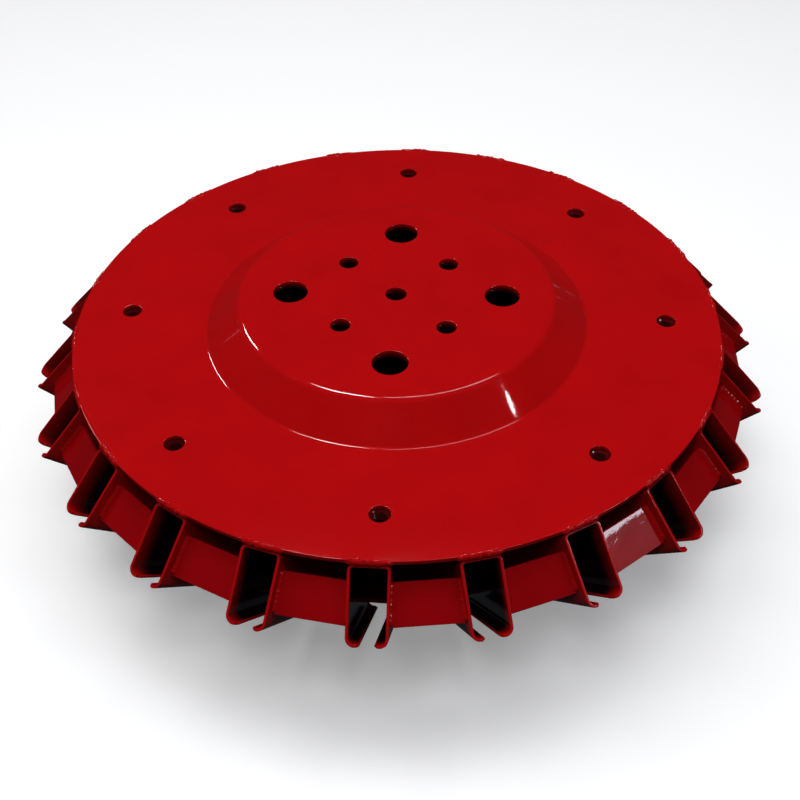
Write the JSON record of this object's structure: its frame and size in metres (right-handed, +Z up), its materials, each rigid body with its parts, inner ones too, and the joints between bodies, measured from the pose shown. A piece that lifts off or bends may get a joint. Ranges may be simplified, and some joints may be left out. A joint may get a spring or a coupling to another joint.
{
  "type": "tool carrier disc",
  "caption": "Round red carrier disc: pressed sheet disc with a raised drilled hub, lipped channels sloping in under its rim to a drum and base ring, panels between them.",
  "frame": {"origin": "on the disc's axis, in the plane of the base ring's underside", "axes": "+Z up along the disc's axis from the base ring to the hub's top; +X and +Y each pass through a large hub hole and a rim hole"},
  "size_m": [0.5468, 0.5494, 0.1632],
  "materials": {
    "disc_enamel": "gloss red powder coat",
    "channel_enamel": "gloss red powder coat",
    "panel_enamel": "gloss red powder coat with orange peel",
    "hardware_enamel": "gloss red powder coat over steel"
  },
  "bodies": {
    "root": {"pressed_disc": "disc_enamel", "hub_doubler_plate": "hardware_enamel", "base_ring": "channel_enamel", "inner_drum": "channel_enamel", "channel_01": "channel_enamel", "channel_02": "channel_enamel", "channel_03": "channel_enamel", "channel_04": "channel_enamel", "channel_05": "channel_enamel", "channel_06": "channel_enamel", "channel_07": "channel_enamel", "channel_08": "channel_enamel", "channel_09": "channel_enamel", "channel_10": "channel_enamel", "channel_11": "channel_enamel", "channel_12": "channel_enamel", "channel_13": "channel_enamel", "channel_14": "channel_enamel", "channel_15": "channel_enamel", "channel_16": "channel_enamel", "channel_17": "channel_enamel", "channel_18": "channel_enamel", "channel_19": "channel_enamel", "channel_20": "channel_enamel", "channel_21": "channel_enamel", "channel_22": "channel_enamel", "rim_panel_01": "panel_enamel", "rim_panel_02": "panel_enamel", "rim_panel_03": "panel_enamel", "rim_panel_04": "panel_enamel", "rim_panel_05": "panel_enamel", "rim_panel_06": "panel_enamel", "rim_panel_07": "panel_enamel", "rim_panel_08": "panel_enamel", "rim_panel_09": "panel_enamel", "rim_panel_10": "panel_enamel", "rim_panel_11": "panel_enamel", "rim_panel_12": "panel_enamel", "rim_panel_13": "panel_enamel", "rim_panel_14": "panel_enamel", "rim_panel_15": "panel_enamel", "rim_panel_16": "panel_enamel", "rim_panel_17": "panel_enamel", "rim_panel_18": "panel_enamel", "rim_panel_19": "panel_enamel", "rim_panel_20": "panel_enamel", "rim_panel_21": "panel_enamel", "rim_panel_22": "panel_enamel", "weld_nut_1": "hardware_enamel", "weld_nut_2": "hardware_enamel", "weld_nut_3": "hardware_enamel", "weld_nut_4": "hardware_enamel", "weld_nut_5": "hardware_enamel", "weld_nut_6": "hardware_enamel", "weld_nut_7": "hardware_enamel", "weld_nut_8": "hardware_enamel"}
  },
  "joints": []
}
